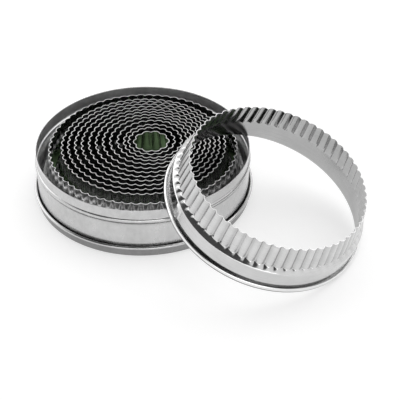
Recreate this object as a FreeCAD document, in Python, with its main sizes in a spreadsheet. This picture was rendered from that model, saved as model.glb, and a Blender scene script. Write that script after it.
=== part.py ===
import FreeCAD, Part
import math
import os

import Sketcher

# A set of fourteen round fluted biscuit cutters. Thirteen stand one inside the other in a
# shallow drawn tin, cutting edges up, and the tin stands in its own upturned lid. The second
# largest cutter has been taken out and leans on the rim of the tin.
# Millimetres, +Z up, +Y away from the viewer, origin under the middle of the lid.

Vector = FreeCAD.Vector
UP = Vector(0, 0, 1)

DRIVING_SIZES = {
    # Cutters: each is one strip of sheet, rolled over at the foot and fluted at the top
    "first_diameter": 21.0,
    "diameter_step": 6.72,
    "cutter_height": 29.2,
    "cutter_sheet": 0.35,
    "bead": 2.2,
    "collar_height": 13.0,
    "flare": 4.0,
    "shoulder_rise": 2.0,
    "shoulder_step": 1.2,
    "ledge_lip": 0.15,
    "flute_margin": 0.08,
    "flute_depth": 1.4,
    "lap_width": 5.0,
    "lap_margin": 0.6,
    # Tin: a drawn cup with one swaged ring that stops the lid
    "tin_sheet": 0.35,
    "tin_clearance": 0.5,
    "tin_corner": 0.8,
    "rim_rise": 1.0,
    "swage_drop": 7.2,
    "swage_height": 2.9,
    "swage_depth": 0.8,
    # Lid: a shallow pressed dish with a curled edge
    "lid_sheet": 0.35,
    "lid_clearance": 0.6,
    "lid_height": 7.1,
    "lid_corner": 1.2,
    "lid_curl": 1.7,
    # Gaps and places
    "nest_gap": 0.3,
    "seat_gap": 0.2,
    "rest_gap": 0.3,
    "loose_reach": 80.7,
}

# Flutes round each cutter, smallest first
FLUTE_COUNTS = (10, 17, 21, 24, 29, 32, 37, 41, 46, 49, 55, 58, 62, 64)
LOOSE_NUMBER = 13
CREST_SHARE = 0.42
# Rolled edges and the swaged ring have flats of this share of their width
ROLL_FLAT_SHARE = 0.5
SWAGE_FLAT_SHARE = 0.4

# Way in which each nested cutter has slid against the next larger one, in degrees from +X,
# and how much of its play it has used
LEAN_DEGREES = (-105, 170, -55, 5, 35, 40, 45, 35, 55, 48, 75, 84, 0, 40)
LEAN_SHARES = (0.75, 0.85, 0.9, 1.0, 1.0, 1.0, 1.0, 1.0, 1.0, 1.0, 1.0, 0.47, 0.0, 1.0)
# Turn of each cutter about its own axis, which sets its seam and its flutes
TURN_DEGREES = (147, 206, 86, 259.5, 337, 120.5, 27, 305, 189.5, 62, 230.5, 97, 235.5, 279)
# Way to the loose cutter from the middle of the tin, and the way in which it slopes down
LOOSE_BEARING_DEGREES = -34.0
LOOSE_LEAN_DEGREES = -31.0
STEEPEST_TILT_DEGREES = 45.0
# Steps in which its bead is followed round and its tilt is narrowed down
BEAD_STEPS = 720
TILT_STEPS = 40

doc = FreeCAD.newDocument("BiscuitCutters")
sheet = doc.addObject("Spreadsheet::Sheet", "Sizes")
for row, (alias, number) in enumerate(DRIVING_SIZES.items(), start=1):
    sheet.set(f"A{row}", alias)
    sheet.set(f"B{row}", str(number))
    sheet.setAlias(f"B{row}", alias)
doc.recompute()


def size(expression):
    """The number that an expression in the sheet's sizes comes to."""
    return float(sheet.evalExpression(expression))


# Expressions shared by the pieces, with the cutters numbered from 1

def edge_radius(number):
    return f"((Sizes.first_diameter + {number - 1} * Sizes.diameter_step) / 2)"


def collar_inside(number):
    return f"({edge_radius(number)} + Sizes.flare)"


def collar_outside(number):
    return f"({collar_inside(number)} + Sizes.cutter_sheet)"


def bead_outside(number):
    return f"({collar_inside(number)} + Sizes.bead)"


def shoulder_radius(number):
    return f"({collar_outside(number)} - Sizes.shoulder_step)"


def flute_foot_radius(number):
    return f"({shoulder_radius(number)} - Sizes.ledge_lip)"


SHOULDER_HEIGHT = "(Sizes.collar_height + Sizes.shoulder_rise)"
CUTTER_FLOOR = "(Sizes.lid_sheet + Sizes.tin_sheet + Sizes.seat_gap)"
TIN_INSIDE = f"({bead_outside(len(FLUTE_COUNTS))} + Sizes.tin_clearance)"
TIN_OUTSIDE = f"({TIN_INSIDE} + Sizes.tin_sheet)"
TIN_HEIGHT = "(Sizes.tin_sheet + Sizes.seat_gap + Sizes.cutter_height + Sizes.rim_rise)"
LID_INSIDE = f"({TIN_OUTSIDE} + Sizes.lid_clearance)"


# Sketches and bodies

def hold(sketch, kind, point, expression):
    """Constrain one coordinate of a sketch point to an expression."""
    index = sketch.addConstraint(Sketcher.Constraint(kind, *point, size(expression)))
    sketch.setExpression(f"Constraints[{index}]", expression)


def outline(body, name, corners):
    """Closed sketch in the body's XZ plane through corners given as x and y expressions.

    None puts a corner on the axis.
    """
    sketch = body.newObject("Sketcher::SketchObject", name)
    plane = next(item for item in body.Origin.OriginFeatures if item.Role == "XZ_Plane")
    sketch.AttachmentSupport = [(plane, "")]
    sketch.MapMode = "FlatFace"
    places = [Vector(*(0 if text is None else size(text) for text in corner)) for corner in corners]
    last = len(corners) - 1
    for index, place in enumerate(places):
        sketch.addGeometry(Part.LineSegment(place, places[0 if index == last else index + 1]), False)
    for index in range(len(corners)):
        after = 0 if index == last else index + 1
        sketch.addConstraint(Sketcher.Constraint("Coincident", index, 2, after, 1))
    for index, corner in enumerate(corners):
        point = (index, 1)
        for kind, text, axis in (("DistanceX", corner[0], -2), ("DistanceY", corner[1], -1)):
            if text is None:
                sketch.addConstraint(Sketcher.Constraint("PointOnObject", *point, axis))
            else:
                hold(sketch, kind, point, text)
    return sketch


def turned(body, sketch, name):
    """Revolution of a sketch about the body's Z axis."""
    feature = body.newObject("PartDesign::Revolution", name)
    feature.Profile = sketch
    feature.ReferenceAxis = (sketch, ["V_Axis"])
    feature.Angle = 360
    doc.recompute()
    return feature


def strip_body(number):
    """Lower half of a cutter: rolled bead, plain collar, shoulder and the lap of the strip."""
    inside, outside = collar_inside(number), collar_outside(number)
    shoulder = shoulder_radius(number)
    ledge_end = f"({flute_foot_radius(number)} + Sizes.flute_margin)"
    cut = f"Sizes.bead * {(1 - ROLL_FLAT_SHARE) / 2}"
    body = doc.addObject("PartDesign::Body", f"Strip{number:02d}")
    profile = outline(body, f"StripProfile{number:02d}", [
        (inside, "Sizes.bead / 2"),
        (f"{inside} + {cut}", None),
        (f"{bead_outside(number)} - {cut}", None),
        (bead_outside(number), "Sizes.bead / 2"),
        (f"{bead_outside(number)} - {cut}", "Sizes.bead"),
        (outside, "Sizes.bead"),
        (outside, "Sizes.collar_height"),
        (shoulder, SHOULDER_HEIGHT),
        (ledge_end, SHOULDER_HEIGHT),
        (ledge_end, f"{SHOULDER_HEIGHT} - Sizes.cutter_sheet"),
        (inside, "Sizes.collar_height"),
    ])
    turned(body, profile, f"StripTurn{number:02d}")
    lap_profile = outline(body, f"LapProfile{number:02d}", [
        (f"{outside} - Sizes.cutter_sheet / 2", "Sizes.bead + Sizes.lap_margin"),
        (f"{outside} + Sizes.cutter_sheet", "Sizes.bead + Sizes.lap_margin"),
        (f"{outside} + Sizes.cutter_sheet", "Sizes.collar_height - Sizes.lap_margin"),
        (f"{outside} - Sizes.cutter_sheet / 2", "Sizes.collar_height - Sizes.lap_margin"),
    ])
    lap = turned(body, lap_profile, f"Lap{number:02d}")
    lap.Midplane = True
    lap.setExpression("Angle", f"Sizes.lap_width / {outside} * 180 / pi")
    doc.recompute()
    return body


# Fluted skirt

def wave(crest, valley, count, height):
    """Corners of a closed fluted section, with broad crests and narrow valleys."""
    pitch = 2 * math.pi / count
    flute = ((crest, -CREST_SHARE / 2), (crest, CREST_SHARE / 2), (valley, 1 / 2))
    corners = []
    for index in range(count):
        for radius, turn in flute:
            angle = (index + turn) * pitch
            corners.append(Vector(radius * math.cos(angle), radius * math.sin(angle), height))
    return corners


def ring_face(outer, inner, way):
    """Flat face between two closed wires, facing the given way."""
    face = Part.makeFace([outer, inner], "Part::FaceMakerBullseye")
    return face if face.normalAt(0, 0).dot(way) > 0 else face.reversed()


def fluted_skirt(number):
    """Tapered fluted wall on its flat ledge, sewn from flat flanks that all run to one cone tip."""
    count = FLUTE_COUNTS[number - 1]
    crest = size(edge_radius(number))
    foot = size(flute_foot_radius(number))
    wall, depth = size("Sizes.cutter_sheet"), size("Sizes.flute_depth")
    low, high = size(SHOULDER_HEIGHT), size("Sizes.cutter_height")
    ledge_end = foot + size("Sizes.flute_margin")
    spread, inner_spread = foot / crest, (foot - wall) / (crest - wall)

    outer_low = wave(foot, (crest - depth) * spread, count, low)
    outer_high = wave(crest, crest - depth, count, high)
    inner_low = wave(foot - wall, (crest - depth - wall) * inner_spread, count, low - wall)
    inner_high = wave(crest - wall, crest - depth - wall, count, high)

    faces = []
    for bottom, top, outward in ((outer_low, outer_high, True), (inner_low, inner_high, False)):
        for index in range(len(bottom)):
            after = (index + 1) % len(bottom)
            loop = [bottom[index], bottom[after], top[after], top[index], bottom[index]]
            flank = Part.Face(Part.makePolygon(loop))
            faces.append(flank if outward else flank.reversed())
    loops = [Part.makePolygon(ring + ring[:1]) for ring in (outer_low, outer_high, inner_low, inner_high)]
    circles = [Part.Wire(Part.makeCircle(ledge_end, Vector(0, 0, level))) for level in (low, low - wall)]
    faces.append(ring_face(loops[1], loops[3], UP))
    faces.append(ring_face(circles[0], loops[0], UP))
    faces.append(ring_face(circles[1], loops[2], -UP))
    rim = Part.makeCylinder(ledge_end, wall, Vector(0, 0, low - wall))
    faces.append(next(face for face in rim.Faces if face.Surface.TypeId == "Part::GeomCylinder"))
    shell = Part.Shell(faces)
    shell.sewShape()
    return Part.Solid(shell)


def cutter(number):
    """One cutter, standing on its bead at the origin."""
    skirt = doc.addObject("Part::Feature", f"Skirt{number:02d}")
    skirt.Shape = fluted_skirt(number)
    piece = doc.addObject("Part::Fuse", f"Cutter{number:02d}")
    piece.Base = strip_body(number)
    piece.Tool = skirt
    piece.Refine = True
    piece.Label = f"cutter_{number:02d}"
    return piece


# Places of the cutters

def along(degrees):
    return Vector(math.cos(math.radians(degrees)), math.sin(math.radians(degrees)), 0)


def nest_middles():
    """Axis of each nested cutter, worked in from the tin by the play that each one has."""
    middles = {}
    middle = Vector(0, 0, size(CUTTER_FLOOR))
    room = size(TIN_INSIDE)
    for number in range(len(FLUTE_COUNTS), 0, -1):
        if number == LOOSE_NUMBER:
            continue
        play = max(room - size(bead_outside(number)) - size("Sizes.nest_gap"), 0)
        middle = middle + along(LEAN_DEGREES[number - 1]) * play * LEAN_SHARES[number - 1]
        middles[number] = middle
        room = size(collar_inside(number))
    return middles


def loose_place():
    """The cutter that was taken out, with its bead on the ground and against the tin's rim."""
    roll = size("Sizes.bead / 2")
    circle = size(f"{collar_inside(LOOSE_NUMBER)} + Sizes.bead / 2")
    flat = roll * ROLL_FLAT_SHARE
    rim_height = size(f"Sizes.lid_sheet + {TIN_HEIGHT}")
    rim_radius = size(f"{TIN_INSIDE} + Sizes.tin_sheet / 2")
    apart = math.hypot(roll, flat) + size("Sizes.tin_sheet / 2 + Sizes.rest_gap")
    downhill, across = along(LOOSE_LEAN_DEGREES), along(LOOSE_LEAN_DEGREES + 90)
    reach = along(LOOSE_BEARING_DEGREES) * size("Sizes.loose_reach")

    def frame(tilt):
        axis = downhill * math.sin(tilt) + UP * math.cos(tilt)
        slope = downhill * math.cos(tilt) - UP * math.sin(tilt)
        return axis, slope, reach + UP * (circle + flat) * math.sin(tilt)

    def clear_of_rim(tilt):
        axis, slope, foot = frame(tilt)
        nearest = math.inf
        for step in range(BEAD_STEPS):
            angle = 2 * math.pi * step / BEAD_STEPS
            point = foot + axis * roll + (slope * math.cos(angle) + across * math.sin(angle)) * circle
            beside = math.hypot(point.x, point.y) - rim_radius
            nearest = min(nearest, math.hypot(beside, max(point.z - rim_height, 0)))
        return nearest > apart

    low, high = 0.0, math.radians(STEEPEST_TILT_DEGREES)
    for _ in range(TILT_STEPS):
        tilt = (low + high) / 2
        if clear_of_rim(tilt):
            high = tilt
        else:
            low = tilt
    axis, slope, foot = frame(high)
    return FreeCAD.Placement(foot, FreeCAD.Rotation(slope, across, axis, "ZXY"))


# Tin and lid

def tin():
    """Drawn cup with a swaged ring under its neck."""
    middle = f"({TIN_HEIGHT} - Sizes.swage_drop)"
    half, flat = "Sizes.swage_height / 2", f"Sizes.swage_height / 2 * {SWAGE_FLAT_SHARE}"
    inner_corner = "(Sizes.tin_corner - Sizes.tin_sheet * (2 - sqrt(2)))"
    body = doc.addObject("PartDesign::Body", "Tin")
    body.Label = "tin_body"
    profile = outline(body, "TinProfile", [
        (None, None),
        (f"{TIN_OUTSIDE} - Sizes.tin_corner", None),
        (TIN_OUTSIDE, "Sizes.tin_corner"),
        (TIN_OUTSIDE, f"{middle} - {half}"),
        (f"{TIN_OUTSIDE} + Sizes.swage_depth", f"{middle} - {flat}"),
        (f"{TIN_OUTSIDE} + Sizes.swage_depth", f"{middle} + {flat}"),
        (TIN_OUTSIDE, f"{middle} + {half}"),
        (TIN_OUTSIDE, TIN_HEIGHT),
        (TIN_INSIDE, TIN_HEIGHT),
        (TIN_INSIDE, f"{middle} + {half}"),
        (f"{TIN_INSIDE} + Sizes.swage_depth", f"{middle} + {flat}"),
        (f"{TIN_INSIDE} + Sizes.swage_depth", f"{middle} - {flat}"),
        (TIN_INSIDE, f"{middle} - {half}"),
        (TIN_INSIDE, f"Sizes.tin_sheet + {inner_corner}"),
        (f"{TIN_INSIDE} - {inner_corner}", "Sizes.tin_sheet"),
        (None, "Sizes.tin_sheet"),
    ])
    turned(body, profile, "TinTurn")
    body.Placement = FreeCAD.Placement(Vector(0, 0, size("Sizes.lid_sheet")), FreeCAD.Rotation())
    return body


def lid():
    """Shallow dish, upside down on the ground, with its edge curled outwards."""
    outside = f"({LID_INSIDE} + Sizes.lid_sheet)"
    curl_outside = f"({LID_INSIDE} + Sizes.lid_curl)"
    cut = f"Sizes.lid_curl * {(1 - ROLL_FLAT_SHARE) / 2}"
    inner_corner = "(Sizes.lid_corner - Sizes.lid_sheet * (2 - sqrt(2)))"
    body = doc.addObject("PartDesign::Body", "Lid")
    body.Label = "tin_lid"
    profile = outline(body, "LidProfile", [
        (None, None),
        (f"{outside} - Sizes.lid_corner", None),
        (outside, "Sizes.lid_corner"),
        (outside, "Sizes.lid_height - Sizes.lid_curl"),
        (f"{curl_outside} - {cut}", "Sizes.lid_height - Sizes.lid_curl"),
        (curl_outside, "Sizes.lid_height - Sizes.lid_curl / 2"),
        (f"{curl_outside} - {cut}", "Sizes.lid_height"),
        (f"{LID_INSIDE} + {cut}", "Sizes.lid_height"),
        (LID_INSIDE, "Sizes.lid_height - Sizes.lid_curl / 2"),
        (LID_INSIDE, f"Sizes.lid_sheet + {inner_corner}"),
        (f"{LID_INSIDE} - {inner_corner}", "Sizes.lid_sheet"),
        (None, "Sizes.lid_sheet"),
    ])
    turned(body, profile, "LidTurn")
    return body


# The set

pieces = [lid(), tin()]
middles = nest_middles()
for number in range(1, len(FLUTE_COUNTS) + 1):
    piece = cutter(number)
    turn = FreeCAD.Rotation(UP, TURN_DEGREES[number - 1])
    if number == LOOSE_NUMBER:
        place = loose_place()
        piece.Placement = FreeCAD.Placement(place.Base, place.Rotation * turn)
    else:
        piece.Placement = FreeCAD.Placement(middles[number], turn)
    pieces.append(piece)
doc.recompute()

for item in doc.Objects:
    if "Invalid" in item.State or "Error" in item.State:
        raise RuntimeError(f"{item.Label} failed: {item.State}")
for piece in pieces:
    shape = piece.Shape
    if shape.isNull() or not shape.isValid() or len(shape.Solids) != 1:
        raise RuntimeError(f"{piece.Label} is not one valid solid")

os.makedirs("parts", exist_ok=True)
for piece in pieces:
    piece.Shape.exportStep(f"parts/{piece.Label}.step")
    print(piece.Label, round(piece.Shape.Volume, 1), [round(length, 2) for length in (
        piece.Shape.BoundBox.XLength, piece.Shape.BoundBox.YLength, piece.Shape.BoundBox.ZLength)])
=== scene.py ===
"""Set of fluted biscuit cutters in a tin, dressed for Blender as an add-on that runs as a script."""

import math

import bmesh
import bpy
import numpy as np
from bpy.props import FloatProperty, FloatVectorProperty, IntProperty, PointerProperty
from mathutils import Matrix, Vector


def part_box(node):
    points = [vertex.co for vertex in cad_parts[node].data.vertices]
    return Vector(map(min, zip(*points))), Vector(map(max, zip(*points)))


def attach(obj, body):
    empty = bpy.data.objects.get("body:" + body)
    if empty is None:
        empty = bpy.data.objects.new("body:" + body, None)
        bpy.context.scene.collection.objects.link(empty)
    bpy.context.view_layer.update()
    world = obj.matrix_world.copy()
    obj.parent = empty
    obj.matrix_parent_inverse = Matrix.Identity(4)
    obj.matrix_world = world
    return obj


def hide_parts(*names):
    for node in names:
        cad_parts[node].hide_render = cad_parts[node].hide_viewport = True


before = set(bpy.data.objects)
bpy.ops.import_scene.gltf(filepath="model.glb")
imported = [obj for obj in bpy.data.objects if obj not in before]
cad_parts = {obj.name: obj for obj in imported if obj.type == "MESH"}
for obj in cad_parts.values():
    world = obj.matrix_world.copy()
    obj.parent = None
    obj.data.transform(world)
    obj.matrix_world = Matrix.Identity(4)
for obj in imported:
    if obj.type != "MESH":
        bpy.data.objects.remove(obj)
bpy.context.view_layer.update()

bl_info = {
    "name": "Biscuit cutter set",
    "version": (1, 0, 0),
    "blender": (4, 5, 0),
    "location": "View3D > Sidebar > Cutters",
    "description": "Dresses a nest of fluted biscuit cutters in their tin",
    "category": "Object",
}

# Flutes round each cutter and its turn about its own axis in degrees, smallest first
FLUTE_COUNTS = (10, 17, 21, 24, 29, 32, 37, 41, 46, 49, 55, 58, 62, 64)
TURN_DEGREES = (147, 206, 86, 259.5, 337, 120.5, 27, 305, 189.5, 62, 230.5, 97, 235.5, 279)

# Fineness of the meshes
BEAD_STEPS = 14
CURVE_STEPS = 7
LAP_STEPS = 3
SKIRT_STEPS = 5
TIN_SIDES = 288
LEAST_FLUTE_SIDES = 16
LEAST_RING_SIDES = 200
WELD_SIDES = 16
WELD_RINGS = 8
# Rows of the meshes as shares: up a cutter's shoulder, down its inside, up a wall and out along a floor
SLOPE_SHARES = (0.07, 0.22, 0.4, 0.6, 0.8, 0.96)
INSIDE_SHARES = (0.75, 0.5, 0.25, 0.08)
WALL_SHARES = (0.3, 0.6, 0.9)
LID_INSIDE_SHARES = (0.9, 0.5, 0.1)
FLOOR_SHARES = (0, 0.3, 0.7)
GREEN_FLOOR_SHARES = (0.94, 0.6, 0.3, 0)
# Angles round the bead's roll in degrees: start and end of its underside in painted shade, and its fade
UNDERSIDE_START = 245
UNDERSIDE_END = 348
UNDERSIDE_FADE = 8
# Turned pieces stay this far inside the outline of their solids
OUTLINE_MARGIN = 0.00004
# Points on the axis that lie closer than this are one
MERGE_DISTANCE = 1e-7
# Least rise of a normal that looks up, and least sideways part of an axis that leans
LEAST_RISE = 0.5
LEAST_LEAN = 1e-3

# Masks on a strip: fluted, lapped, the edge's painted highlight, painted shade under the bead, the
# bead's painted highlight, and the inside in painted shade
STRIP_MASKS = ("flute", "lap", "rim", "under", "burnish", "inner")
# Masks on the tin and the lid: the curled edge, the inside in painted light, and the painted green
# reflection on the floor
SHELL_MASKS = ("curl", "inside", "green_reflection")

# Waves of the rolled sheet to the metre, and how flat a spot weld is
WAVER_SCALE = 55.0
WAVER_DETAIL = 1.0
WELD_FLATNESS = 0.2
# Rolling lines to the metre along and across a strip, and marks to the metre on drawn sheet
STRIP_LINES = (40.0, 2600.0, 1.0)
DRAWN_LINES = (300.0, 200.0, 1.0)
LINE_DETAIL = 3.0
# Blotches to the metre
BLOTCH_SCALE = 90.0
BLOTCH_DETAIL = 4.0
# Part of the noise that counts, and how far it darkens and lightens the sheet
NOISE_RANGE = (0.3, 0.7)
SHADE_RANGE = (0.86, 1.1)
# Strength of the lines' relief on each sheet, and its depth in metres
STRIP_RELIEF = 0.25
DRAWN_RELIEF = 0.06
RELIEF_DEPTH = 0.00005
# Least and most roughness of each sheet, and what the cutting edge and the inside of the tin add to it
STRIP_ROUGHNESS = (0.12, 0.22)
DRAWN_ROUGHNESS = (0.2, 0.3)
EDGE_ROUGHNESS = 0.25
INSIDE_ROUGHNESS = 0.08

# Floor of the stage
FLOOR_REACH = 8.0
FLOOR_ROUGHNESS = 0.9
FLOOR_GLOSS = 0.1
# Unlit side of the room: cosines from its middle at which it starts and is full, and its light there
DARK_START = 0.67
DARK_FULL = 0.81
DARK_LIGHT = 0.07
# Soft lamps: place, point that they face, width and height in metres, and power in watts
LAMPS = {
    "overhead": ((0.4, 0.5, 1.2), (0.03, 0.0, 0.0), 1.5, 1.3, 7.5),
    "key": ((-0.9, 0.6, 0.5), (0.03, 0.0, 0.0), 1.2, 1.0, 3.5),
    "front": ((0.0, -1.5, 0.55), (0.03, 0.0, 0.02), 1.8, 0.6, 4.0),
}
# Width of the picture in pixels, and of the camera's sensor in millimetres
PICTURE_WIDTH = 400.0
SENSOR_WIDTH = 36.0


class CutterSizes(bpy.types.PropertyGroup):
    """Sizes that all the cutters share."""

    sheet: FloatProperty(
        name="Sheet", description="Thickness of the strip", default=0.00035, unit="LENGTH")
    bead: FloatProperty(
        name="Bead", description="Width of the rolled bead", default=0.0022, unit="LENGTH")
    bead_height: FloatProperty(
        name="Bead height", description="Height of the rolled bead", default=0.0034, unit="LENGTH")
    bead_end: FloatProperty(
        name="Bead end", description="Angle above level at which the bead's roll stops",
        subtype="ANGLE", default=math.radians(66))
    flare: FloatProperty(
        name="Flare", description="Collar's inside beyond the cutting edge",
        default=0.004, unit="LENGTH")
    taper: FloatProperty(
        name="Taper", description="Foot of the flutes beyond the cutting edge",
        default=0.002, unit="LENGTH")
    collar: FloatProperty(
        name="Collar", description="Height of the plain collar", default=0.013, unit="LENGTH")
    shoulder: FloatProperty(
        name="Shoulder", description="Height of the foot of the flutes", default=0.015, unit="LENGTH")
    flute_depth: FloatProperty(
        name="Flute depth", description="Depth of a flute", default=0.0014, unit="LENGTH")
    crest_share: FloatProperty(
        name="Crest share", description="Share of a flute that its flat crest takes", default=0.42)
    flute_rounding: FloatProperty(
        name="Flute rounding", description="Rounding of a flute's bends, as a share of its depth",
        default=0.8)
    lap_width: FloatProperty(
        name="Lap", description="Overlap of the strip's two ends", default=0.005, unit="LENGTH")
    # Height of the band at the cutting edge whose colour is a painted highlight
    bright_edge: FloatProperty(
        name="Bright edge", description="Height of the cutting edge's painted highlight",
        default=0.0001, unit="LENGTH")
    waver: FloatProperty(
        name="Waver", description="Unevenness of the rolled sheet", default=0.00006, unit="LENGTH")
    weld_size: FloatProperty(
        name="Weld", description="Half width of a spot weld", default=0.0007, unit="LENGTH")
    weld_count: IntProperty(name="Welds", description="Spot welds in each seam", default=2, min=1)


class TinSizes(bpy.types.PropertyGroup):
    """Sizes of the tin and its lid that the solids do not give."""

    sheet: FloatProperty(
        name="Sheet", description="Thickness of tin and lid", default=0.00035, unit="LENGTH")
    corner: FloatProperty(
        name="Corner", description="Rounding at the tin's foot", default=0.0008, unit="LENGTH")
    swage_drop: FloatProperty(
        name="Swage drop", description="Middle of the swaged ring below the rim",
        default=0.0072, unit="LENGTH")
    swage_height: FloatProperty(
        name="Swage height", description="Height of the swaged ring", default=0.0029, unit="LENGTH")
    swage_depth: FloatProperty(
        name="Swage depth", description="How far the swaged ring stands out",
        default=0.0008, unit="LENGTH")
    lid_corner: FloatProperty(
        name="Lid corner", description="Rounding at the lid's edge", default=0.0012, unit="LENGTH")
    lid_curl: FloatProperty(
        name="Lid curl", description="Width of the lid's curled edge", default=0.0017, unit="LENGTH")


class Finishes(bpy.types.PropertyGroup):
    """Colours of the metal, with painted shade, light and highlights, and of the painted green
    reflection on the tin's floor.
    """

    tinplate: FloatVectorProperty(
        name="Tinplate", description="Bright rolled strip of the cutters",
        subtype="COLOR", size=3, min=0, max=1, default=(0.64, 0.64, 0.64))
    # Painted shade down in the flutes' valleys, where the ribs fall into shade
    valley_shade: FloatVectorProperty(
        name="Valley shade", description="Painted shade down in the flutes",
        subtype="COLOR", size=3, min=0, max=1, default=(0.48, 0.48, 0.48))
    # Painted shade: the inside of a cutter, the same sheet as its outside, is darker
    strip_inside_shade: FloatVectorProperty(
        name="Strip inside", description="Painted shade inside a cutter",
        subtype="COLOR", size=3, min=0, max=1, default=(0.5, 0.5, 0.5))
    # Painted shade under the bead's roll
    under_bead_shade: FloatVectorProperty(
        name="Under bead shade", description="Painted shade under the bead",
        subtype="COLOR", size=3, min=0, max=1, default=(0.14, 0.14, 0.14))
    # Painted highlight on the cutting edge and on the bead
    edge_highlight: FloatVectorProperty(
        name="Edge highlight", description="Cutting edge and burnished bead",
        subtype="COLOR", size=3, min=0, max=1, default=(0.84, 0.84, 0.84))
    tin: FloatVectorProperty(
        name="Tin", description="Drawn sheet of the tin, outside",
        subtype="COLOR", size=3, min=0, max=1, default=(0.57, 0.57, 0.57))
    # Painted shade: the lid's wall is darker than the tin's same sheet
    lid: FloatVectorProperty(
        name="Lid", description="Painted shade on the lid's wall",
        subtype="COLOR", size=3, min=0, max=1, default=(0.27, 0.27, 0.27))
    # Painted light: the inside of the tin is brighter than its outside
    tin_inside_light: FloatVectorProperty(
        name="Tin inside", description="Painted light inside the tin",
        subtype="COLOR", size=3, min=0, max=1, default=(0.78, 0.78, 0.78))
    # Painted green reflection on the floor inside the tin
    green_reflection: FloatVectorProperty(
        name="Green reflection", description="Painted green reflection on the tin's floor inside",
        subtype="COLOR", size=3, min=0, max=1, default=(0.58, 0.9, 0.45))


class StageSettings(bpy.types.PropertyGroup):
    """Camera and light."""

    camera_place: FloatVectorProperty(
        name="Camera", description="Place of the camera", subtype="TRANSLATION", size=3,
        default=(0.0328, -0.659, 0.5009))
    camera_elevation: FloatProperty(
        name="Elevation", description="How far the camera looks down", subtype="ANGLE",
        default=math.radians(37.71))
    focal_pixels: FloatProperty(
        name="Focal length", description="In pixels of a picture 400 wide", default=1412.0)
    floor_colour: FloatVectorProperty(
        name="Floor", description="Pale floor", subtype="COLOR", size=3, min=0, max=1,
        default=(0.58, 0.58, 0.58))
    floor_glow: FloatProperty(
        name="Floor glow", description="Light of the floor's own towards the eye", default=0.565)
    ambient: FloatProperty(name="Ambient", description="Light from all round", default=0.45)
    dark_way: FloatVectorProperty(
        name="Dark way", description="Way to the unlit side of the room", subtype="DIRECTION", size=3,
        default=(-0.33, -0.42, 0.85))


# Node helpers

def add_node(tree, kind, **settings):
    """New node with the given settings."""
    node = tree.nodes.new(kind)
    for name, value in settings.items():
        setattr(node, name, value)
    return node


def feed(tree, socket, value):
    """Link or set a socket."""
    if isinstance(value, bpy.types.NodeSocket):
        tree.links.new(value, socket)
    else:
        socket.default_value = value


def math_of(tree, operation, *values):
    """Output of a Math node on the given sockets or numbers."""
    node = add_node(tree, "ShaderNodeMath", operation=operation)
    for socket, value in zip(node.inputs, values):
        feed(tree, socket, value)
    return node.outputs[0]


def vector_of(tree, x, y, z):
    """Vector of three sockets or numbers."""
    node = add_node(tree, "ShaderNodeCombineXYZ")
    for socket, value in zip(node.inputs, (x, y, z)):
        feed(tree, socket, value)
    return node.outputs[0]


def named_value(tree, name):
    """Mask of the mesh by name, in geometry nodes."""
    node = add_node(tree, "GeometryNodeInputNamedAttribute", data_type="FLOAT")
    node.inputs["Name"].default_value = name
    return node.outputs["Attribute"]


def new_tree(name, kind, inputs, outputs):
    """Node tree with named sockets, and its input and output nodes."""
    tree = bpy.data.node_groups.new(name, kind)
    for label, socket_type in inputs:
        tree.interface.new_socket(label, in_out="INPUT", socket_type=socket_type)
    for label, socket_type in outputs:
        tree.interface.new_socket(label, in_out="OUTPUT", socket_type=socket_type)
    return tree, add_node(tree, "NodeGroupInput"), add_node(tree, "NodeGroupOutput")


# Meshes

def turned_mesh(name, rows, sides, closed):
    """Surface turned about Z. A row holds its radius, its height and its masks by name."""
    radii = np.array([row["radius"] for row in rows])
    heights = np.array([row["height"] for row in rows])
    count = len(rows)
    angles = np.arange(sides) * 2 * math.pi / sides
    points = np.empty((sides, count, 3))
    points[:, :, 0] = np.cos(angles)[:, None] * radii
    points[:, :, 1] = np.sin(angles)[:, None] * radii
    points[:, :, 2] = heights
    near = np.arange(sides)
    after = (near + 1) % sides
    low = np.arange(count if closed else count - 1)
    high = (low + 1) % count
    corners = [(near, low), (after, low), (after, high), (near, high)]
    quads = np.stack([(side[:, None] * count + row) for side, row in corners], axis=-1).reshape(-1, 4)
    mesh = bpy.data.meshes.new(name)
    mesh.from_pydata(points.reshape(-1, 3).tolist(), [], quads.tolist())
    travel = np.concatenate([[0], np.cumsum(np.hypot(np.diff(radii), np.diff(heights)))])
    back = travel[-1] + math.hypot(radii[0] - radii[-1], heights[0] - heights[-1])
    along = np.concatenate([travel, [back]])
    around = np.arange(sides + 1) * 2 * math.pi / sides * radii.max()
    side_steps = [(near, low), (near + 1, low), (near + 1, low + 1), (near, low + 1)]
    uv = np.stack([
        np.stack(np.broadcast_arrays(around[side][:, None], along[row][None, :]), axis=-1)
        for side, row in side_steps], axis=2).reshape(-1, 2)
    layer = mesh.uv_layers.new(name="Strip")
    layer.data.foreach_set("uv", uv.astype(np.float32).ravel())
    for mask in rows[0]:
        if mask not in ("radius", "height"):
            attribute = mesh.attributes.new(mask, "FLOAT", "POINT")
            values = np.tile([row[mask] for row in rows], sides).astype(np.float32)
            attribute.data.foreach_set("value", values)
    return mesh


def arc(centre, radius, start, end, steps, rise=1.0):
    """Points on a circle between two angles in degrees, or on an oval that is rise times as tall."""
    angles = np.radians(np.linspace(start, end, steps + 1))
    return [(centre[0] + radius * math.cos(angle), centre[1] + radius * rise * math.sin(angle))
            for angle in angles]


def show(name, mesh, material, body, node):
    """Link a finished piece, which stands for a CAD node and moves with its body."""
    piece = bpy.data.objects.new(name, mesh)
    bpy.context.scene.collection.objects.link(piece)
    if material.name not in mesh.materials:
        mesh.materials.append(material)
    mesh.polygons.foreach_set("use_smooth", [True] * len(mesh.polygons))
    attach(piece, body)
    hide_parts(node)
    return piece


# Cutters

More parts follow.
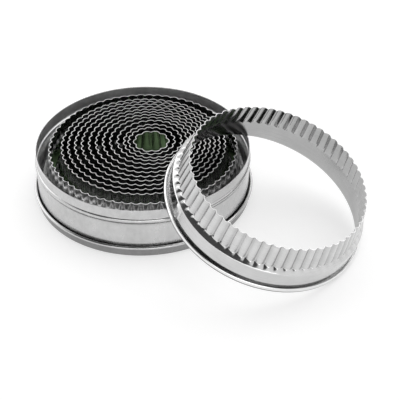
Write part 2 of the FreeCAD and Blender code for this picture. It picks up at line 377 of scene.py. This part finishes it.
def strip_rows(edge, height, sizes):
    """Section of a cutter's strip, once round: bead, collar, shoulder, flutes, and back inside."""
    sheet, roll = sizes.sheet, sizes.bead / 2
    inside = edge + sizes.flare
    outside = inside + sheet
    foot = edge + sizes.taper
    shoulder, collar = sizes.shoulder, sizes.collar
    # Rows this close together keep a bend crisp
    fine = sheet / 5
    rows = []

    def put(points, **masks):
        unmarked = dict.fromkeys(STRIP_MASKS, 0.0)
        for radius, level in points:
            rows.append({"radius": radius, "height": level, **unmarked, **masks})

    def skirt(level, inset):
        share = (level - shoulder) / (height - shoulder)
        return foot + (edge - foot) * share - inset, level

    def slope(start, end, shares, **masks):
        for share in shares:
            radius, level = (low + (high - low) * share for low, high in zip(start, end))
            put([(radius, level)], flute=share ** 2, **masks)

    end = 360 + math.degrees(sizes.bead_end)
    middle, half = (inside + roll, sizes.bead_height / 2), sizes.bead_height / 2
    rise = half / roll
    # Round the bead: painted shade inside and on its underside, a painted highlight on its outside
    put(arc(middle, roll, 180, UNDERSIDE_START - UNDERSIDE_FADE, CURVE_STEPS, rise), inner=1.0)
    put(arc(middle, roll, UNDERSIDE_START, UNDERSIDE_END, CURVE_STEPS, rise), under=1.0)
    put(arc(middle, roll, UNDERSIDE_END + UNDERSIDE_FADE, end, BEAD_STEPS, rise), burnish=1.0)
    put(arc(middle, roll - sheet, end, 180, BEAD_STEPS, rise=(half - sheet) / (roll - sheet)))
    groove = sizes.bead_height - sheet
    lap_height = collar - groove - 5 * sheet
    put([(outside, groove + fine), (outside, groove + sheet)])
    for step in range(LAP_STEPS + 1):
        put([(outside, groove + 2 * sheet + lap_height * step / LAP_STEPS)], lap=1.0)
    put([(outside, collar - 2 * sheet), (outside, collar - sheet / 2)])
    slope((outside, collar), (foot, shoulder), SLOPE_SHARES)
    put([(foot, shoulder + fine), skirt(shoulder + sheet, 0)], flute=1.0)
    levels = [shoulder + (height - shoulder) * step / SKIRT_STEPS for step in range(1, SKIRT_STEPS)]
    put([skirt(level, 0) for level in levels], flute=1.0)
    put([skirt(height - 2 * sizes.bright_edge, 0)], flute=1.0)
    # Rows of the cutting edge, whose colour is a painted highlight
    put([skirt(height - sizes.bright_edge, 0), skirt(height - fine, 0)], flute=1.0, rim=1.0)
    put([(edge - sheet / 6, height), (edge - sheet * 5 / 6, height)], flute=1.0, rim=1.0)
    put([skirt(height - fine, sheet), skirt(height - sizes.bright_edge, sheet)], flute=1.0, rim=1.0)
    put([skirt(height - 2 * sizes.bright_edge, sheet)], flute=1.0, inner=1.0)
    put([skirt(level, sheet) for level in levels[::-1]], flute=1.0, inner=1.0)
    put([skirt(shoulder, sheet)], flute=1.0, inner=1.0)
    inner_collar, inner_foot = (inside, collar - sheet / 2), (foot - sheet, shoulder - sheet / 2)
    slope(inner_collar, inner_foot, SLOPE_SHARES[::-1], inner=1.0)
    put([(inside, collar - sheet), (inside, collar - 3 * sheet)], inner=1.0)
    put([(inside, half + (collar - 3 * sheet - half) * share) for share in INSIDE_SHARES], inner=1.0)
    return rows


def fluting_tree():
    """Geometry nodes that press the flutes and the lap into a turned strip and weld its seam."""
    tree, start, end = new_tree("Fluted strip", "GeometryNodeTree", [
        ("Geometry", "NodeSocketGeometry"), ("Flutes", "NodeSocketInt"),
        ("Flute depth", "NodeSocketFloat"), ("Crest share", "NodeSocketFloat"),
        ("Flute rounding", "NodeSocketFloat"),
        ("Lap angle", "NodeSocketFloat"), ("Lap step", "NodeSocketFloat"),
        ("Waver", "NodeSocketFloat"), ("Seed", "NodeSocketFloat"),
        ("Weld count", "NodeSocketInt"), ("Weld size", "NodeSocketFloat"),
        ("Weld radius", "NodeSocketFloat"), ("Weld height", "NodeSocketFloat"),
        ("Weld spacing", "NodeSocketFloat"), ("Finish", "NodeSocketMaterial"),
    ], [("Geometry", "NodeSocketGeometry")])
    given = start.outputs
    place = add_node(tree, "GeometryNodeInputPosition").outputs[0]
    parts = add_node(tree, "ShaderNodeSeparateXYZ")
    feed(tree, parts.inputs[0], place)
    angle = math_of(tree, "ARCTAN2", parts.outputs["Y"], parts.outputs["X"])
    turns = math_of(tree, "MULTIPLY", angle, math_of(tree, "DIVIDE", given["Flutes"], 2 * math.pi))
    from_crest = math_of(tree, "PINGPONG", turns, 0.5)
    flat = math_of(tree, "MULTIPLY", given["Crest share"], 0.5)
    flank = math_of(tree, "DIVIDE", math_of(tree, "SUBTRACT", from_crest, flat),
                    math_of(tree, "SUBTRACT", 0.5, flat))
    eased = math_of(tree, "SMOOTH_MAX", flank, 0.0, given["Flute rounding"])
    valley = math_of(tree, "MULTIPLY", math_of(tree, "SMOOTH_MIN", eased, 1.0, given["Flute rounding"]),
                     named_value(tree, "flute"))
    pressed = math_of(tree, "MULTIPLY", valley, given["Flute depth"])
    in_lap = math_of(tree, "LESS_THAN", math_of(tree, "ABSOLUTE", angle),
                     math_of(tree, "DIVIDE", given["Lap angle"], 2.0))
    lapped = math_of(tree, "MULTIPLY", math_of(tree, "MULTIPLY", in_lap, given["Lap step"]),
                     named_value(tree, "lap"))
    noise = add_node(tree, "ShaderNodeTexNoise", noise_dimensions="4D")
    feed(tree, noise.inputs["Vector"], place)
    feed(tree, noise.inputs["W"], given["Seed"])
    noise.inputs["Scale"].default_value = WAVER_SCALE
    noise.inputs["Detail"].default_value = WAVER_DETAIL
    about_zero = math_of(tree, "SUBTRACT", noise.outputs["Fac"], 0.5)
    wavered = math_of(tree, "MULTIPLY", about_zero, given["Waver"])
    outward = math_of(tree, "ADD", math_of(tree, "SUBTRACT", lapped, pressed), wavered)
    radial = add_node(tree, "ShaderNodeVectorMath", operation="NORMALIZE")
    feed(tree, radial.inputs[0], vector_of(tree, parts.outputs["X"], parts.outputs["Y"], 0.0))
    offset = add_node(tree, "ShaderNodeVectorMath", operation="SCALE")
    feed(tree, offset.inputs[0], radial.outputs[0])
    feed(tree, offset.inputs["Scale"], outward)
    # The valley mask also sets where the painted shade in the flutes goes
    marked = add_node(tree, "GeometryNodeStoreNamedAttribute", data_type="FLOAT", domain="POINT")
    feed(tree, marked.inputs["Geometry"], given["Geometry"])
    marked.inputs["Name"].default_value = "valley"
    feed(tree, marked.inputs["Value"], valley)
    moved = add_node(tree, "GeometryNodeSetPosition")
    feed(tree, moved.inputs["Geometry"], marked.outputs["Geometry"])
    feed(tree, moved.inputs["Offset"], offset.outputs[0])

    row = add_node(tree, "GeometryNodeMeshLine")
    feed(tree, row.inputs["Count"], given["Weld count"])
    lowest = vector_of(tree, given["Weld radius"], 0.0, given["Weld height"])
    feed(tree, row.inputs["Start Location"], lowest)
    feed(tree, row.inputs["Offset"], vector_of(tree, 0.0, 0.0, given["Weld spacing"]))
    spot = add_node(tree, "GeometryNodeMeshUVSphere")
    spot.inputs["Segments"].default_value = WELD_SIDES
    spot.inputs["Rings"].default_value = WELD_RINGS
    feed(tree, spot.inputs["Radius"], given["Weld size"])
    spots = add_node(tree, "GeometryNodeInstanceOnPoints")
    feed(tree, spots.inputs["Points"], row.outputs["Mesh"])
    feed(tree, spots.inputs["Instance"], spot.outputs["Mesh"])
    spots.inputs["Scale"].default_value = (WELD_FLATNESS, 1.0, 1.0)
    joined = add_node(tree, "GeometryNodeJoinGeometry")
    feed(tree, joined.inputs[0], moved.outputs["Geometry"])
    feed(tree, joined.inputs[0], spots.outputs["Instances"])
    whole = add_node(tree, "GeometryNodeRealizeInstances")
    feed(tree, whole.inputs["Geometry"], joined.outputs[0])
    finish = add_node(tree, "GeometryNodeSetMaterial")
    feed(tree, finish.inputs["Geometry"], whole.outputs[0])
    feed(tree, finish.inputs["Material"], given["Finish"])
    feed(tree, end.inputs[0], finish.outputs[0])
    return tree


def through_nodes(name, mesh, tree, values):
    """Plain mesh that a geometry node tree makes of a mesh, with the tree's inputs by name."""
    holder = bpy.data.objects.new(name, mesh)
    bpy.context.scene.collection.objects.link(holder)
    modifier = holder.modifiers.new(tree.name, "NODES")
    modifier.node_group = tree
    for item in tree.interface.items_tree:
        if item.in_out == "INPUT" and item.name in values:
            modifier[item.identifier] = values[item.name]
    graph = bpy.context.evaluated_depsgraph_get()
    made = bpy.data.meshes.new_from_object(holder.evaluated_get(graph))
    holder.modifiers.remove(modifier)
    bpy.data.objects.remove(holder)
    bpy.data.meshes.remove(mesh)
    made.name = name
    return made


def ring_frame(node):
    """Middle of a cutter's foot, its axis, its bead's outside radius and its height, from the solid."""
    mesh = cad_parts[node].data
    points = np.array([vertex.co for vertex in mesh.vertices])
    normals = np.array([face.normal for face in mesh.polygons])
    areas = np.array([face.area for face in mesh.polygons])
    totals = {}
    for normal, area in zip(normals, areas):
        if normal[2] > LEAST_RISE:
            key = tuple(np.round(normal, 3))
            totals.setdefault(key, []).append((area, normal))
    largest = max(totals.values(), key=lambda group: sum(area for area, _ in group))
    weights = [area for area, _ in largest]
    axis = Vector(np.average([normal for _, normal in largest], axis=0, weights=weights)).normalized()
    lean = math.hypot(axis.x, axis.y)
    if lean > LEAST_LEAN:
        slope = Vector((axis.x / lean * axis.z, axis.y / lean * axis.z, -lean))
    else:
        axis, slope = Vector((0, 0, 1)), Vector((1, 0, 0))
    across = axis.cross(slope)
    spans = [(points @ np.array(way)) for way in (slope, across, axis)]
    lows, highs = [span.min() for span in spans], [span.max() for span in spans]
    middle = slope * (lows[0] + highs[0]) / 2 + across * (lows[1] + highs[1]) / 2 + axis * lows[2]
    place = Matrix((slope, across, axis)).transposed().to_4x4()
    place.translation = middle
    return place, (highs[1] - lows[1]) / 2, highs[2] - lows[2]


class BISCUIT_OT_cutters(bpy.types.Operator):
    """Roll the strip of every cutter, press its flutes and weld its seam"""

    bl_idname = "biscuit.cutters"
    bl_label = "Cutters"

    def execute(self, context):
        sizes = context.scene.cutter_sizes
        finish = strip_finish(context.scene.cutter_finishes)
        tree = fluting_tree()
        for number, (flutes, turn) in enumerate(zip(FLUTE_COUNTS, TURN_DEGREES), start=1):
            node = f"cutter_{number:02d}"
            place, bead_radius, height = ring_frame(node)
            edge = bead_radius - OUTLINE_MARGIN - sizes.bead - sizes.flare
            outside = edge + sizes.flare + sizes.sheet
            flute_sides = max(LEAST_FLUTE_SIDES, math.ceil(LEAST_RING_SIDES / flutes))
            mesh = turned_mesh(node, strip_rows(edge, height, sizes), flutes * flute_sides, closed=True)
            mesh = through_nodes(f"{node}_strip", mesh, tree, {
                "Flutes": flutes, "Flute depth": sizes.flute_depth,
                "Crest share": sizes.crest_share, "Flute rounding": sizes.flute_rounding,
                "Lap angle": sizes.lap_width / outside, "Lap step": sizes.sheet,
                "Waver": sizes.waver, "Seed": float(number),
                "Weld count": sizes.weld_count, "Weld size": sizes.weld_size,
                "Weld radius": outside + sizes.sheet, "Weld height": sizes.bead * 2,
                "Weld spacing": sizes.collar / 3, "Finish": finish,
            })
            mesh.transform(place @ Matrix.Rotation(math.radians(turn), 4, "Z"))
            show(f"{node}_strip", mesh, finish, node, node)
        return {"FINISHED"}


# Tin and lid

def shell_rows(wall, curl, inner, green_floor):
    """Rows of a turned shell: its wall outside, its curled edge, its inside and the floor that takes a
    painted green reflection.
    """
    stretches = ((wall, ()), (curl, ("curl",)), (inner, ("inside",)), (green_floor, ("inside", "green_reflection")))
    rows = []
    for points, marked in stretches:
        for radius, height in points:
            masks = {mask: float(mask in marked) for mask in SHELL_MASKS}
            rows.append({"radius": radius, "height": height, **masks})
    return rows


def closed_poles(mesh):
    """Merge the rings of no radius at the axis."""
    work = bmesh.new()
    work.from_mesh(mesh)
    bmesh.ops.remove_doubles(work, verts=work.verts, dist=MERGE_DISTANCE)
    work.to_mesh(mesh)
    work.free()
    return mesh


class BISCUIT_OT_tin(bpy.types.Operator):
    """Draw the tin with its swaged ring and the painted green reflection on its floor"""

    bl_idname = "biscuit.tin"
    bl_label = "Tin"

    def execute(self, context):
        sizes = context.scene.tin_sizes
        low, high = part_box("tin_body")
        outside = (high.x - low.x) / 2 - OUTLINE_MARGIN - sizes.swage_depth
        sheet, inside = sizes.sheet, outside - sizes.sheet
        foot, rim = low.z, high.z
        middle = rim - sizes.swage_drop
        half = sizes.swage_height / 2
        bulge = (half ** 2 + sizes.swage_depth ** 2) / (2 * sizes.swage_depth)
        reach = math.degrees(math.asin(half / bulge))
        centre = (outside + sizes.swage_depth - bulge, middle)
        inner_bulge = bulge - sheet
        inner_reach = math.degrees(math.acos((inside - centre[0]) / inner_bulge))
        corner = sizes.corner
        outer = [(outside * share, foot) for share in FLOOR_SHARES]
        outer += arc((outside - corner, foot + corner), corner, -90, 0, CURVE_STEPS)
        outer += [(outside, foot + (middle - half - foot) * share) for share in WALL_SHARES]
        outer += arc(centre, bulge, -reach, reach, 2 * CURVE_STEPS)
        outer += [(outside, middle + half + sheet), (outside, rim - sheet), (outside, rim - sheet / 4)]
        outer += [(outside - sheet / 4, rim), (inside + sheet / 4, rim), (inside, rim - sheet / 4)]
        inner = [(inside, rim - sheet), (inside, middle + half + sheet)]
        inner += arc(centre, inner_bulge, inner_reach, -inner_reach, 2 * CURVE_STEPS)
        inner += [(inside, foot + (middle - half - foot) * share) for share in WALL_SHARES[::-1]]
        inner += arc((outside - corner, foot + corner), corner - sheet, 0, -90, CURVE_STEPS)
        # Floor inside the tin, which takes the painted green reflection
        green_floor = [(outside * share, foot + sheet) for share in GREEN_FLOOR_SHARES]
        rows = shell_rows(outer, [], inner, green_floor)
        colours = context.scene.cutter_finishes
        finish = drawn_finish("drawn_tin", colours.tin, colours)
        mesh = closed_poles(turned_mesh("tin_shell", rows, TIN_SIDES, closed=False))
        show("tin_shell", mesh, finish, "tin", "tin_body")
        return {"FINISHED"}


class BISCUIT_OT_lid(bpy.types.Operator):
    """Press the shallow lid and curl its edge"""

    bl_idname = "biscuit.lid"
    bl_label = "Lid"

    def execute(self, context):
        sizes = context.scene.tin_sizes
        low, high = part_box("tin_lid")
        roll = sizes.lid_curl / 2
        inside = (high.x - low.x) / 2 - OUTLINE_MARGIN - sizes.lid_curl
        sheet, corner = sizes.sheet, sizes.lid_corner
        outside = inside + sheet
        foot, top = low.z, high.z
        centre = (inside + roll, top - roll)
        close = math.degrees(math.acos((sheet - roll) / roll))
        outer_wall = top - 2 * roll - foot - corner
        inner_wall = top - roll - foot - corner
        outer = [(outside * share, foot) for share in FLOOR_SHARES]
        outer += arc((outside - corner, foot + corner), corner, -90, 0, CURVE_STEPS)
        outer += [(outside, foot + corner + outer_wall * share) for share in WALL_SHARES]
        curl = arc(centre, roll, -close, 180, BEAD_STEPS)
        inner = [(inside, foot + corner + inner_wall * share) for share in LID_INSIDE_SHARES]
        inner += arc((outside - corner, foot + corner), corner - sheet, 0, -90, CURVE_STEPS)
        inner += [(outside * share, foot + sheet) for share in FLOOR_SHARES[::-1]]
        rows = shell_rows(outer, curl, inner, [])
        colours = context.scene.cutter_finishes
        finish = drawn_finish("drawn_lid", colours.lid, colours)
        mesh = closed_poles(turned_mesh("lid_shell", rows, TIN_SIDES, closed=False))
        show("lid_shell", mesh, finish, "lid", "tin_lid")
        return {"FINISHED"}


# Finishes

def map_range(tree, value, given_range, low, high):
    """Output of a Map Range node that takes a range to another."""
    node = add_node(tree, "ShaderNodeMapRange")
    feed(tree, node.inputs["Value"], value)
    for name, number in zip(("From Min", "From Max", "To Min", "To Max"), (*given_range, low, high)):
        feed(tree, node.inputs[name], number)
    return node.outputs[0]


def sheet_wear_group():
    """Rolling lines and blotches of bright sheet, as its colour, roughness and height."""
    name = "Sheet wear"
    if name in bpy.data.node_groups:
        return bpy.data.node_groups[name]
    tree, start, end = new_tree(name, "ShaderNodeTree", [
        ("Strip", "NodeSocketVector"), ("Place", "NodeSocketVector"), ("Line scale", "NodeSocketVector"),
        ("Tone", "NodeSocketColor"), ("Rough low", "NodeSocketFloat"), ("Rough high", "NodeSocketFloat"),
    ], [("Color", "NodeSocketColor"), ("Roughness", "NodeSocketFloat"), ("Height", "NodeSocketFloat")])
    given = start.outputs
    stretch = add_node(tree, "ShaderNodeMapping")
    feed(tree, stretch.inputs["Vector"], given["Strip"])
    feed(tree, stretch.inputs["Scale"], given["Line scale"])
    lines = add_node(tree, "ShaderNodeTexNoise")
    feed(tree, lines.inputs["Vector"], stretch.outputs[0])
    lines.inputs["Scale"].default_value = 1.0
    lines.inputs["Detail"].default_value = LINE_DETAIL
    blotch = add_node(tree, "ShaderNodeTexNoise")
    feed(tree, blotch.inputs["Vector"], given["Place"])
    blotch.inputs["Scale"].default_value = BLOTCH_SCALE
    blotch.inputs["Detail"].default_value = BLOTCH_DETAIL
    both = math_of(tree, "MULTIPLY_ADD", lines.outputs["Fac"], 0.5,
                   math_of(tree, "MULTIPLY", blotch.outputs["Fac"], 0.5))
    tint = add_node(tree, "ShaderNodeVectorMath", operation="SCALE")
    feed(tree, tint.inputs[0], given["Tone"])
    feed(tree, tint.inputs["Scale"], map_range(tree, both, NOISE_RANGE, *SHADE_RANGE))
    rough = map_range(tree, both, NOISE_RANGE, given["Rough low"], given["Rough high"])
    feed(tree, end.inputs["Color"], tint.outputs[0])
    feed(tree, end.inputs["Roughness"], rough)
    feed(tree, end.inputs["Height"], lines.outputs["Fac"])
    return tree


def sheet_material(name, line_scale, relief, roughness):
    """Metal on the sheet wear group, with its tree, shader and wear node for what is added."""
    material = bpy.data.materials.new(name)
    material.use_nodes = True
    tree = material.node_tree
    shader = tree.nodes["Principled BSDF"]
    wear = add_node(tree, "ShaderNodeGroup", node_tree=sheet_wear_group())
    strip = add_node(tree, "ShaderNodeUVMap", uv_map="Strip")
    place = add_node(tree, "ShaderNodeTexCoord")
    feed(tree, wear.inputs["Strip"], strip.outputs["UV"])
    feed(tree, wear.inputs["Place"], place.outputs["Object"])
    wear.inputs["Line scale"].default_value = line_scale
    wear.inputs["Rough low"].default_value, wear.inputs["Rough high"].default_value = roughness
    bump = add_node(tree, "ShaderNodeBump")
    bump.inputs["Strength"].default_value = relief
    bump.inputs["Distance"].default_value = RELIEF_DEPTH
    feed(tree, bump.inputs["Height"], wear.outputs["Height"])
    feed(tree, shader.inputs["Normal"], bump.outputs[0])
    return material, tree, shader, wear


def mask_value(tree, name):
    """Mask of the mesh by name, in a material."""
    return add_node(tree, "ShaderNodeAttribute", attribute_name=name).outputs["Fac"]


def mixed(tree, share, first, second):
    """Colour between two others."""
    node = add_node(tree, "ShaderNodeMix", data_type="RGBA")
    feed(tree, node.inputs["Factor"], share)
    feed(tree, node.inputs["A"], first)
    feed(tree, node.inputs["B"], second)
    return node.outputs["Result"]


def strip_finish(colours):
    """Rolled strip, painted shade in its flutes, inside and under the bead, a painted highlight at its
    edge and bead.
    """
    material, tree, shader, wear = sheet_material(
        "bright_strip", STRIP_LINES, STRIP_RELIEF, STRIP_ROUGHNESS)
    rim, valley, under, burnish, inner = (
        mask_value(tree, name) for name in ("rim", "valley", "under", "burnish", "inner"))
    # Painted shade in the flutes, inside and under the bead; painted highlight on the edge and bead
    sheet = mixed(tree, valley, (*colours.tinplate, 1.0), (*colours.valley_shade, 1.0))
    sheet = mixed(tree, inner, sheet, (*colours.strip_inside_shade, 1.0))
    sheet = mixed(tree, under, sheet, (*colours.under_bead_shade, 1.0))
    bright = math_of(tree, "MAXIMUM", rim, burnish)
    feed(tree, wear.inputs["Tone"], mixed(tree, bright, sheet, (*colours.edge_highlight, 1.0)))
    feed(tree, shader.inputs["Base Color"], wear.outputs["Color"])
    shader.inputs["Metallic"].default_value = 1.0
    feed(tree, shader.inputs["Roughness"],
         math_of(tree, "MULTIPLY_ADD", rim, EDGE_ROUGHNESS, wear.outputs["Roughness"]))
    return material


def drawn_finish(name, outside, colours):
    """Satin drawn sheet; a lid's wall in painted shade below its curl, painted light inside, a painted
    green reflection on the floor.
    """
    material, tree, shader, wear = sheet_material(name, DRAWN_LINES, DRAWN_RELIEF, DRAWN_ROUGHNESS)
    curl, inside, green_floor = (mask_value(tree, mask) for mask in SHELL_MASKS)
    # On the lid the wall takes painted shade and the curl the tin's colour; inside takes painted light,
    # the tin's floor a painted green reflection
    sheet = mixed(tree, curl, (*outside, 1.0), (*colours.tin, 1.0))
    feed(tree, wear.inputs["Tone"], mixed(tree, inside, sheet, (*colours.tin_inside_light, 1.0)))
    feed(tree, shader.inputs["Base Color"],
         mixed(tree, green_floor, wear.outputs["Color"], (*colours.green_reflection, 1.0)))
    feed(tree, shader.inputs["Metallic"], math_of(tree, "SUBTRACT", 1.0, green_floor))
    feed(tree, shader.inputs["Roughness"],
         math_of(tree, "MULTIPLY_ADD", inside, INSIDE_ROUGHNESS, wear.outputs["Roughness"]))
    return material


# Stage

def white_to_eye(tree):
    """One for rays from the camera, mirrors and glass, and zero for the rest."""
    path = add_node(tree, "ShaderNodeLightPath")
    seen = math_of(tree, "MAXIMUM", path.outputs["Is Camera Ray"], path.outputs["Is Glossy Ray"])
    return math_of(tree, "MAXIMUM", seen, path.outputs["Is Transmission Ray"])


def area_light(name, place, aim, width, height, power):
    """Soft lamp that faces a point."""
    lamp = bpy.data.lights.new(name, "AREA")
    lamp.shape = "RECTANGLE"
    lamp.size, lamp.size_y = width, height
    lamp.energy = power
    holder = bpy.data.objects.new(name, lamp)
    holder.location = place
    holder.rotation_euler = (Vector(aim) - Vector(place)).to_track_quat("-Z", "Y").to_euler()
    bpy.context.scene.collection.objects.link(holder)
    return holder


def stage_mesh(name, points, faces, material):
    """Mesh of the stage, which is no part of the object."""
    mesh = bpy.data.meshes.new(name)
    mesh.from_pydata(points, [], faces)
    mesh.materials.append(material)
    piece = bpy.data.objects.new(name, mesh)
    bpy.context.scene.collection.objects.link(piece)
    return piece


def studio_world(settings):
    """White room with one unlit side that only the metal shows."""
    world = bpy.data.worlds.new("studio")
    world.use_nodes = True
    tree = world.node_tree
    sky = tree.nodes["Background"]
    sky.inputs["Color"].default_value = (1.0, 1.0, 1.0, 1.0)
    facing = add_node(tree, "ShaderNodeVectorMath", operation="DOT_PRODUCT")
    feed(tree, facing.inputs[0], add_node(tree, "ShaderNodeTexCoord").outputs["Generated"])
    facing.inputs[1].default_value = Vector(settings.dark_way).normalized()
    lit = add_node(tree, "ShaderNodeMapRange", interpolation_type="SMOOTHSTEP")
    feed(tree, lit.inputs["Value"], facing.outputs["Value"])
    lit.inputs["From Min"].default_value = DARK_START
    lit.inputs["From Max"].default_value = DARK_FULL
    lit.inputs["To Min"].default_value = 1.0
    lit.inputs["To Max"].default_value = DARK_LIGHT
    level = math_of(tree, "MULTIPLY_ADD", white_to_eye(tree), 1.0 - settings.ambient, settings.ambient)
    glossy = add_node(tree, "ShaderNodeLightPath").outputs["Is Glossy Ray"]
    room = math_of(tree, "MAXIMUM", lit.outputs[0], math_of(tree, "SUBTRACT", 1.0, glossy))
    feed(tree, sky.inputs["Strength"], math_of(tree, "MULTIPLY", level, room))
    return world


class BISCUIT_OT_stage(bpy.types.Operator):
    """Set the pale floor, the soft studio light and the camera"""

    bl_idname = "biscuit.stage"
    bl_label = "Stage"

    def execute(self, context):
        scene, settings = context.scene, context.scene.stage_settings
        scene.view_settings.view_transform = "Standard"

        floor = bpy.data.materials.new("pale_floor")
        floor.use_nodes = True
        tree = floor.node_tree
        shader = tree.nodes["Principled BSDF"]
        shader.inputs["Base Color"].default_value = (*settings.floor_colour, 1.0)
        shader.inputs["Roughness"].default_value = FLOOR_ROUGHNESS
        shader.inputs["Specular IOR Level"].default_value = FLOOR_GLOSS
        shader.inputs["Emission Color"].default_value = (1.0, 1.0, 1.0, 1.0)
        feed(tree, shader.inputs["Emission Strength"],
             math_of(tree, "MULTIPLY", white_to_eye(tree), settings.floor_glow))
        signs = ((-1, -1), (1, -1), (1, 1), (-1, 1))
        corners = [(x * FLOOR_REACH, y * FLOOR_REACH, 0) for x, y in signs]
        stage_mesh("floor", corners, [(0, 1, 2, 3)], floor)
        scene.world = studio_world(settings)
        for name, lamp in LAMPS.items():
            area_light(name, *lamp)

        lens = bpy.data.cameras.new("photo_view")
        lens.sensor_width = SENSOR_WIDTH
        lens.lens = lens.sensor_width * settings.focal_pixels / PICTURE_WIDTH
        camera = bpy.data.objects.new("photo_view", lens)
        camera.location = settings.camera_place
        camera.rotation_euler = (math.pi / 2 - settings.camera_elevation, 0, 0)
        scene.collection.objects.link(camera)
        scene.camera = camera
        return {"FINISHED"}


class BISCUIT_PT_panel(bpy.types.Panel):
    """Sidebar panel with the set's pieces"""

    bl_idname = "BISCUIT_PT_panel"
    bl_label = "Biscuit cutters"
    bl_space_type = "VIEW_3D"
    bl_region_type = "UI"
    bl_category = "Cutters"

    def draw(self, context):
        for operator in OPERATORS:
            self.layout.operator(operator.bl_idname)
        for settings in SETTINGS:
            group = getattr(context.scene, settings)
            box = self.layout.box()
            for name in group.bl_rna.properties.keys():
                if name not in ("rna_type", "name"):
                    box.prop(group, name)


OPERATORS = (BISCUIT_OT_lid, BISCUIT_OT_tin, BISCUIT_OT_cutters, BISCUIT_OT_stage)
SETTINGS = {
    "cutter_sizes": CutterSizes,
    "tin_sizes": TinSizes,
    "cutter_finishes": Finishes,
    "stage_settings": StageSettings,
}


def register():
    """Register the classes and put their settings on the scene."""
    for kind in (*SETTINGS.values(), *OPERATORS, BISCUIT_PT_panel):
        bpy.utils.register_class(kind)
    for name, kind in SETTINGS.items():
        setattr(bpy.types.Scene, name, PointerProperty(type=kind))


def unregister():
    """Take the settings and the classes away again."""
    for name in SETTINGS:
        delattr(bpy.types.Scene, name)
    for kind in (BISCUIT_PT_panel, *OPERATORS, *SETTINGS.values()):
        bpy.utils.unregister_class(kind)


def main():
    """Make the pieces and the stage."""
    register()
    bpy.ops.biscuit.lid()
    bpy.ops.biscuit.tin()
    bpy.ops.biscuit.cutters()
    bpy.ops.biscuit.stage()


if __name__ == "__main__":
    main()
